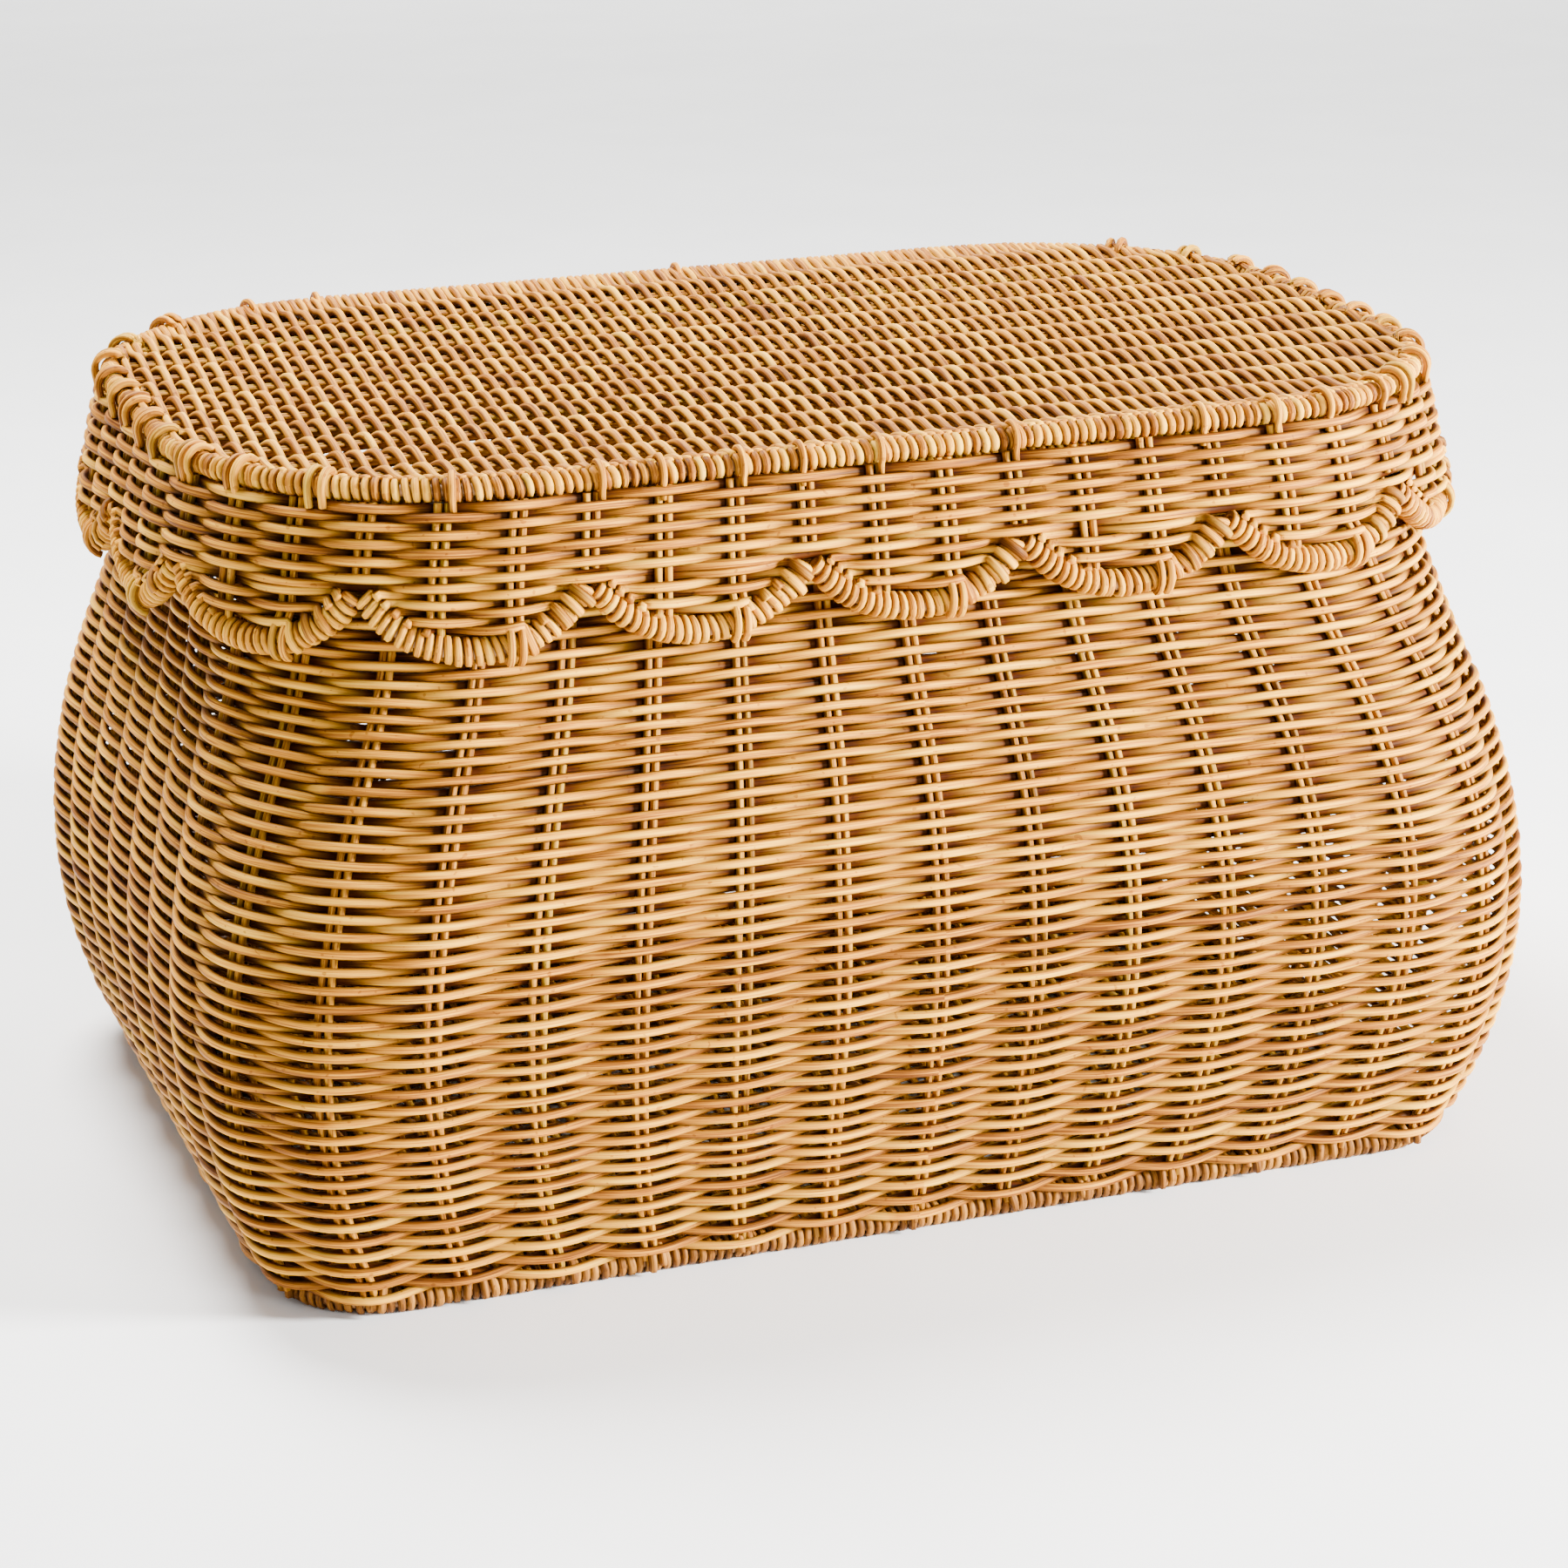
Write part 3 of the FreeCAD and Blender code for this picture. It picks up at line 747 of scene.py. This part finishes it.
def scallop_winding(index):
    """Reed wound round one scallop's rod, thinner where the rod tucks in behind the next."""
    rope = Strands(300 + index)
    end = 0.018                # share of the width that the winding leaves bare at each end
    step = 0.002               # share of the width to the next point, for the rod's direction
    share = np.linspace(end, 1 - end, 200)
    line, _ = SKIRT.place((index + share - 0.5) / SCALLOPS, scallop_z(share))
    way = np.concatenate([[0], np.cumsum(np.linalg.norm(np.diff(line, axis=0), axis=1))])
    count = int(way[-1] / SCALLOP_PITCH)
    shares = np.interp((np.arange(count) + 0.5) * way[-1] / count, way, share)
    centres, normals = SKIRT.place((index + shares - 0.5) / SCALLOPS, scallop_z(shares))
    ahead, _ = SKIRT.place((index + shares + step - 0.5) / SCALLOPS, scallop_z(shares + step))
    base_tone = rope.rng.uniform(0.25, 0.75)
    for k in range(count):
        tangent = ahead[k] - centres[k]
        tangent /= np.linalg.norm(tangent)
        out = normals[k] - tangent * normals[k].dot(tangent)
        out /= np.linalg.norm(out)
        rng = rope.rng
        near_end = min(k, count - 1 - k)
        rope_r = SCALLOP_ROPE_R * (1 - 0.22 * math.exp(-near_end / 1.5)) + rng.normal(0, 0.13 * MM)
        wrap(rope, centres[k] + rng.normal(0, 0.1 * MM, 3), tangent, out, rope_r,
             0.5 * SCALLOP_PITCH * rng.uniform(0.86, 1.02), SCALLOP_WRAP_T, rng.normal(0.9, 0.3) * MM,
             tone=np.clip(base_tone + rng.normal(0, 0.18), 0, 1))
    number = "%02d" % (index + 1)
    rope.piece("scallop_winding_" + number, "lid", BINDING, ("scallop_binding_" + number,))


def lap_over_rope(half, drop, sign, rng):
    """A row's end, from the field's edge over the front of the rope: shares, heights and offsets."""
    edge = math.hypot(half * SCALLOP_WIDTH, drop)
    last = rng.choice([60, 125, 150]) if sign > 0 else 45
    turn = np.radians(np.linspace(30, last, 5))
    reach = SCALLOP_ROPE_R + 0.4 * MM
    radial = SCALLOP_R - reach * np.cos(turn)
    share = 0.5 + sign * half * radial / edge
    return share, SCALLOP_CENTRE_Z - drop * radial / edge, reach * np.sin(turn)


def scallop_fields():
    """Rows that fill each scallop under the last full row; their ends turn over the rope."""
    infill = Strands(seed=61)
    field_r = SCALLOP_R - SCALLOP_ROPE_R
    reach = STAKE_R + SKIRT_WEAVER_R
    for index in range(SCALLOPS):
        z_row = JUNCTION_Z - SKIRT_ROW_PITCH * 0.4
        row = 0
        while True:
            drop = SCALLOP_CENTRE_Z - z_row
            if drop > field_r - 1.5 * MM:
                break
            half = math.sqrt(field_r ** 2 - drop ** 2) / SCALLOP_WIDTH
            rng = infill.rng
            inner = np.linspace(-half, half, max(int(half * 2 * SCALLOP_WIDTH / (4 * MM)), 8))
            side = np.cos(math.pi * (SKIRT_STAKES_PER_SCALLOP * (inner + 0.5) + row))
            bow = FIELD_BOW * (1 - (inner / half) ** 2)
            z = z_row - bow + wander(rng, inner + 0.5, 0.15 * MM, waves=5, periodic=False)
            share, off = inner + 0.5, reach * side
            for end in (0, 1):
                lap_share, lap_z, lap_off = lap_over_rope(half, drop, -1 if end == 0 else 1, rng)
                if end == 0:
                    lap_share, lap_z, lap_off = lap_share[::-1], lap_z[::-1], lap_off[::-1]
                    off[0] = max(off[0], 0.5 * lap_off[-1])
                    share, z, off = (np.concatenate(both) for both in
                                     ((lap_share, share), (lap_z, z), (lap_off, off)))
                else:
                    off[-1] = max(off[-1], 0.5 * lap_off[0])
                    share, z, off = (np.concatenate(both) for both in
                                     ((share, lap_share), (z, lap_z), (off, lap_off)))
            side = np.interp(share, [share[0], 0.5 - half, 0.5 + half, share[-1]], [1, 0, 0, 1]) + np.cos(
                math.pi * (SKIRT_STAKES_PER_SCALLOP * share + row))
            path, normal = SKIRT.place((index + share - 0.5) / SCALLOPS, z, off)
            tone, hue = rng.uniform(0.1, 1), rng.uniform(0, 1)
            width = SKIRT_WEAVER_R * rng.uniform(0.92, 1.02)
            flatter = np.interp(np.abs(share - 0.5), [half, half + 0.02], [1.0, 0.6])
            infill.add(path, normal, np.full(len(share), width), width * flatter, tone=tone, hue=hue,
                       depth=np.clip(0.5 + 0.5 * side, 0, 1))
            z_row -= SKIRT_ROW_PITCH
            row += 1
    infill.piece("scallop_rows", "lid", SKIRT_REED)


def skirt_stakes():
    """Pairs from the rim down: one at each junction, two in each scallop, the last lapping over the rope."""
    rods = Strands(seed=67)
    outline = SKIRT.outline(JUNCTION_Z)
    for number in range(SKIRT_STAKES):
        place = number % SKIRT_STAKES_PER_SCALLOP
        share = place / SKIRT_STAKES_PER_SCALLOP
        middle = (number / SKIRT_STAKES_PER_SCALLOP - 0.5) / SCALLOPS
        for fraction in stake_pairs([middle], outline)[0]:
            low_z = float(scallop_z(share)) + (5.0 * MM if place == 0 else 3.0 * MM)
            z = np.linspace(RIM_Z - RIM_ROPE_R + MM, low_z, 16)
            off = np.zeros(len(z))
            if place == 2:
                lap_z = float(scallop_z(share))
                lap = np.radians(np.linspace(60, -75, 8))
                reach = SCALLOP_ROPE_R + STAKE_R * 0.8
                z = np.concatenate([np.linspace(z[0], lap_z + 14 * MM, 14), lap_z + reach * np.sin(lap)])
                off = np.concatenate([np.zeros(14), reach * np.cos(lap)])
            path, normal = SKIRT.place(np.full(len(z), fraction), z, off)
            rods.add(path, normal, STAKE_R, tone=rods.rng.uniform(0.1, 0.8),
                     depth=0.5 + 0.5 * np.clip(off / SCALLOP_ROPE_R, 0, 1))
        # some pairs send one rod up over the rim, where it ends inside; its hue keeps it from turning olive
        if rods.rng.uniform() < OVER_RIM_SHARE:
            fraction = stake_pairs([middle], outline)[0][number % 2]
            path, out = over_rim(fraction, rods.rng)
            rods.add(path, out, 0.9 * STAKE_R, tone=rods.rng.uniform(0.1, 0.7), hue=0.4)
    rods.piece("skirt_stake_rods", "lid", STAKES,
               ["skirt_stakes_" + side for side in SIDES])


def over_rim(fraction, rng):
    """Path and outward directions of a rod that climbs from the skirt over the rim."""
    xy, flat = round_outline(RIM_LINE, np.array([fraction]))
    out = np.array([*flat[0], 0.0])
    centre = np.array([*xy[0], RIM_Z])
    reach = RIM_ROPE_R + STAKE_R * rng.uniform(0.5, 0.9)
    angle = np.radians(np.linspace(-35, 150, 14))
    radial = np.outer(np.cos(angle), out) + np.outer(np.sin(angle), UP)
    path = centre + radial * reach
    foot = path[0] - UP * 7 * MM - out * 0.5 * MM
    return np.concatenate([[foot], path]), np.concatenate([[out], radial])


def lid_pieces():
    rim = Strands(seed=71)
    wind_ring(rim, RIM_LINE, RIM_Z, RIM_ROPE_R, RIM_PITCH, RIM_WRAP_T, slant=0.7 * MM)
    rim.piece("rim_winding", "lid", RIM_REED, ("lid_ring_binding",))

    plane = RIM_Z + LID_PLANE_RISE
    panel_rows("lid_rows", "lid", RIM_LINE, plane, LID_PITCHES, LID_STRINGERS, LID_SAG, seed=73,
               material=LID_REED, replaces=("lid_weave",), end_lift=LID_END_LIFT,
               slants=(LID_ROW_SLANT, LID_ROW_FAN))
    inside = tuple(v - RIM_ROPE_R for v in RIM_LINE)
    panel_stringers("lid_stringer_rods", "lid", inside, plane, LID_STRINGERS, LID_SAG, seed=79,
                    replaces=("lid_stringers",), over_rim=True)

    top = RIM_Z - RIM_ROPE_R - SKIRT_WEAVER_R * 0.6
    rows = int((top - JUNCTION_Z) / SKIRT_ROW_PITCH) + 1
    heights = top - SKIRT_ROW_PITCH * np.arange(rows)
    phase = SKIRT_STAKES_PER_SCALLOP / 2
    weave_rows(SKIRT, heights, SKIRT_STAKES, phase, SKIRT_WEAVER_R, 200, "skirt_rows", "lid",
               SKIRT_REED, ("skirt_weave",))
    skirt_stakes()
    scallop_fields()
    for index in range(SCALLOPS):
        scallop_winding(index)


def carried_rods():
    """The bent poles keep their CAD shape and get their finish."""
    for name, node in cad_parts.items():
        if name in ("base_ring", "mouth_ring", "lid_ring") or name.startswith("scallop_rod"):
            node.data.materials.clear()
            node.data.materials.append(CORE)


# ---------------------------------------------------------------- stage

def stage_material():
    n = Nodes("floor_paper")
    place = n.node("ShaderNodeTexCoord").outputs["Object"]
    mottle = n.noise(place, 6.0, 3.0)
    colour = n.ramp(mottle, [(0.3, (0.88, 0.88, 0.87)), (0.7, (0.92, 0.92, 0.91))])
    shader = n.node("ShaderNodeBsdfPrincipled")
    n.tree.links.new(colour, shader.inputs["Base Color"])
    shader.inputs["Roughness"].default_value = 1.0
    shader.inputs["Specular IOR Level"].default_value = 0.1
    n.node("ShaderNodeOutputMaterial", Surface=shader.outputs[0])
    return n.material


def area_light(name, place, target, size, power):
    data = bpy.data.lights.new(name, "AREA")
    data.shape, data.size, data.energy = "DISK", size, power
    lamp = bpy.data.objects.new(name, data)
    lamp.location = place
    lamp.rotation_euler = (Vector(target) - Vector(place)).to_track_quat("-Z", "Y").to_euler()
    bpy.context.scene.collection.objects.link(lamp)


def stage():
    mesh = bpy.data.meshes.new("floor")
    half = 20.0
    corners = [(-half, -half, 0), (half, -half, 0), (half, half, 0), (-half, half, 0)]
    mesh.from_pydata(corners, [], [(0, 1, 2, 3)])
    mesh.materials.append(stage_material())
    floor = bpy.data.objects.new("floor", mesh)
    bpy.context.scene.collection.objects.link(floor)
    world = bpy.data.worlds.new("studio")
    world.use_nodes = True
    background = world.node_tree.nodes["Background"]
    background.inputs["Color"].default_value = (1.0, 1.0, 1.0, 1.0)
    background.inputs["Strength"].default_value = 0.58
    bpy.context.scene.world = world
    middle = (0, 0, 0.2)
    area_light("key", (2.7, -1.7, 1.0), middle, size=0.7, power=760)
    area_light("fill", (1.2, -2.7, 1.0), middle, size=1.0, power=50)
    area_light("top", (-0.5, 0.8, 2.3), middle, size=1.0, power=200)
    # for the floor far behind the hamper
    area_light("backdrop", (2.5, 7.5, 4.0), (2.5, 8.0, 0.0), size=5.0, power=1100)


def camera():
    azimuth, elevation, roll = (math.radians(v) for v in (-19.87, 19.11, -0.36))
    distance, lens, sensor = 2.1939, 94.29, 36.0
    target = Vector((0.010, 0.0, 0.1643))      # the point in the middle of the frame
    back = Vector((math.sin(azimuth) * math.cos(elevation), -math.cos(azimuth) * math.cos(elevation),
                   math.sin(elevation)))
    level = (-back).cross(Vector((0, 0, 1))).normalized()
    rise = level.cross(-back)
    right = level * math.cos(roll) + rise * math.sin(roll)
    up = rise * math.cos(roll) - level * math.sin(roll)
    data = bpy.data.cameras.new("camera")
    data.lens, data.sensor_width = lens, sensor
    view = bpy.data.objects.new("camera", data)
    turn = Matrix((right, up, back)).transposed().to_4x4()
    view.matrix_world = Matrix.Translation(target + back * distance) @ turn
    bpy.context.scene.collection.objects.link(view)
    bpy.context.scene.camera = view


camera()
stage()
basket_pieces()
lid_pieces()
carried_rods()
